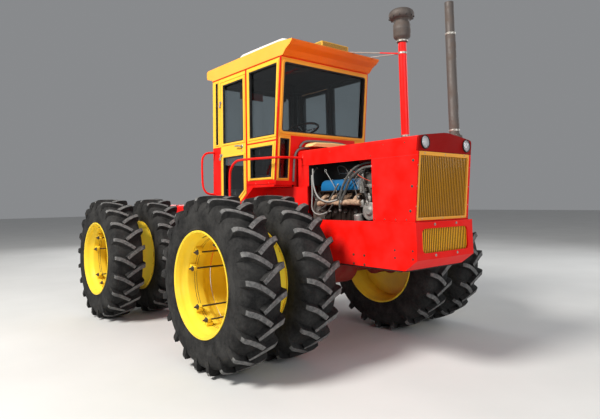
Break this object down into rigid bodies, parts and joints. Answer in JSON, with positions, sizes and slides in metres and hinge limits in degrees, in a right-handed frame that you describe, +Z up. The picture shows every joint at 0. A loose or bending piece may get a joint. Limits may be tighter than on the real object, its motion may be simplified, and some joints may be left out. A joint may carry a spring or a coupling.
{
  "type": "articulated farm tractor",
  "caption": "All-wheel-drive farm tractor hinged in the middle, with dual tyres, a glazed cab, an engine bay open at the sides, and tall exhaust and intake stacks.",
  "frame": {"origin": "on the ground, below the middle of the whole machine", "axes": "+Y to the tractor's rear along its length, +X to its left, +Z up; it faces -Y"},
  "size_m": [3.65, 5.365, 3.6403],
  "materials": {
    "body_red": "gloss paint, sun-faded in places",
    "nose_red": "darker red gloss paint",
    "window_yellow": "gloss paint over steel sash",
    "roof_orange": "satin paint",
    "grille_gold": "gloss paint",
    "rim_yellow": "gloss paint",
    "rubber": "weathered rubber",
    "glass": "clear flat glass, slightly tinted",
    "black_paint": "satin black",
    "stack_grey": "weathered, heat-stained steel",
    "cast_iron": "oily cast iron",
    "bright_steel": "polished",
    "roof_white": "chalky white paint",
    "seat_vinyl": "black vinyl"
  },
  "bodies": {
    "chassis": {"front_frame": "body_red", "front_axle": "nose_red", "engine_block": "black_paint", "gearbox": "cast_iron", "hood": "body_red", "nose_panel": "nose_red", "grille": "grille_gold", "lower_grille": "grille_gold", "headlights": "bright_steel", "side_panel_right": "body_red", "side_panel_left": "body_red", "exhaust_stack": "stack_grey", "intake_pipe": "body_red", "precleaner": "stack_grey", "cab_floor": "body_red", "cab_front_wall": "window_yellow", "cab_rear_wall": "window_yellow", "cab_side_right": "window_yellow", "cab_side_left": "window_yellow", "cab_roof": "roof_orange", "roof_cap": "roof_white", "roof_vent_box": "window_yellow", "fender_right": "body_red", "fender_left": "body_red", "seat_pedestal": "black_paint", "seat": "seat_vinyl", "steering_column": "black_paint", "handrail_right": "body_red", "handrail_left": "body_red", "windscreen": "glass", "rear_glass": "glass", "side_glass_right": "glass", "side_glass_left": "glass"},
    "centre_yoke": {"centre_yoke": "cast_iron"},
    "rear_half": {"rear_frame": "body_red", "rear_axle": "nose_red", "fuel_tank": "body_red", "drawbar": "cast_iron"},
    "door_right": {"door_right": "window_yellow", "door_glass_right": "glass"},
    "door_left": {"door_left": "window_yellow", "door_glass_left": "glass"},
    "cylinder_barrel_right": {"cylinder_barrel_right": "black_paint"},
    "cylinder_rod_right": {"cylinder_rod_right": "bright_steel"},
    "cylinder_barrel_left": {"cylinder_barrel_left": "black_paint"},
    "cylinder_rod_left": {"cylinder_rod_left": "bright_steel"},
    "wheel_front_right": {"rim_front_right": "rim_yellow", "tyre_inner_front_right": "rubber", "tyre_outer_front_right": "rubber"},
    "wheel_front_left": {"rim_front_left": "rim_yellow", "tyre_inner_front_left": "rubber", "tyre_outer_front_left": "rubber"},
    "wheel_rear_right": {"rim_rear_right": "rim_yellow", "tyre_inner_rear_right": "rubber", "tyre_outer_rear_right": "rubber"},
    "wheel_rear_left": {"rim_rear_left": "rim_yellow", "tyre_inner_rear_left": "rubber", "tyre_outer_rear_left": "rubber"}
  },
  "joints": [
    {"name": "steering", "type": "hinge", "parent": "chassis", "child": "centre_yoke", "pos_m": [0, 0.3525, 0.86], "axis": [0, 0, 1], "range_deg": [-35, 35]},
    {"name": "oscillation", "type": "hinge", "parent": "centre_yoke", "child": "rear_half", "pos_m": [0, 0.7125, 0.86], "axis": [0, 1, 0], "range_deg": [-10, 10]},
    {"name": "door_right_swing", "type": "hinge", "parent": "chassis", "child": "door_right", "pos_m": [-0.7395, 0.186, 2.3], "axis": [0, 0, -1], "range_deg": [0, 90]},
    {"name": "door_left_swing", "type": "hinge", "parent": "chassis", "child": "door_left", "pos_m": [0.7395, 0.186, 2.3], "axis": [0, 0, 1], "range_deg": [0, 90]},
    {"name": "cylinder_right_swing", "type": "hinge", "parent": "chassis", "child": "cylinder_barrel_right", "pos_m": [-0.36, -0.5175, 0.83], "axis": [0, 0, 1], "range_deg": [-3.5, 3.5]},
    {"name": "cylinder_right_stroke", "type": "slide", "parent": "cylinder_barrel_right", "child": "cylinder_rod_right", "axis": [0, 1, 0], "range_m": [-0.22, 0.22]},
    {"name": "cylinder_left_swing", "type": "hinge", "parent": "chassis", "child": "cylinder_barrel_left", "pos_m": [0.36, -0.5175, 0.83], "axis": [0, 0, 1], "range_deg": [-3.5, 3.5]},
    {"name": "cylinder_left_stroke", "type": "slide", "parent": "cylinder_barrel_left", "child": "cylinder_rod_left", "axis": [0, 1, 0], "range_m": [-0.22, 0.22]},
    {"name": "wheel_front_right_spin", "type": "hinge", "parent": "chassis", "child": "wheel_front_right", "pos_m": [-0.94, -1.1375, 0.84], "axis": [1, 0, 0], "continuous": true},
    {"name": "wheel_front_left_spin", "type": "hinge", "parent": "chassis", "child": "wheel_front_left", "pos_m": [0.94, -1.1375, 0.84], "axis": [1, 0, 0], "continuous": true},
    {"name": "wheel_rear_right_spin", "type": "hinge", "parent": "rear_half", "child": "wheel_rear_right", "pos_m": [-0.94, 1.8425, 0.84], "axis": [1, 0, 0], "continuous": true},
    {"name": "wheel_rear_left_spin", "type": "hinge", "parent": "rear_half", "child": "wheel_rear_left", "pos_m": [0.94, 1.8425, 0.84], "axis": [1, 0, 0], "continuous": true}
  ],
  "couplings": [
    {"joint": "cylinder_right_swing", "follows": "steering", "ratio": 0.078},
    {"joint": "cylinder_right_stroke", "follows": "steering", "m_per_rad": -0.343},
    {"joint": "cylinder_left_swing", "follows": "steering", "ratio": 0.078},
    {"joint": "cylinder_left_stroke", "follows": "steering", "m_per_rad": 0.343}
  ]
}
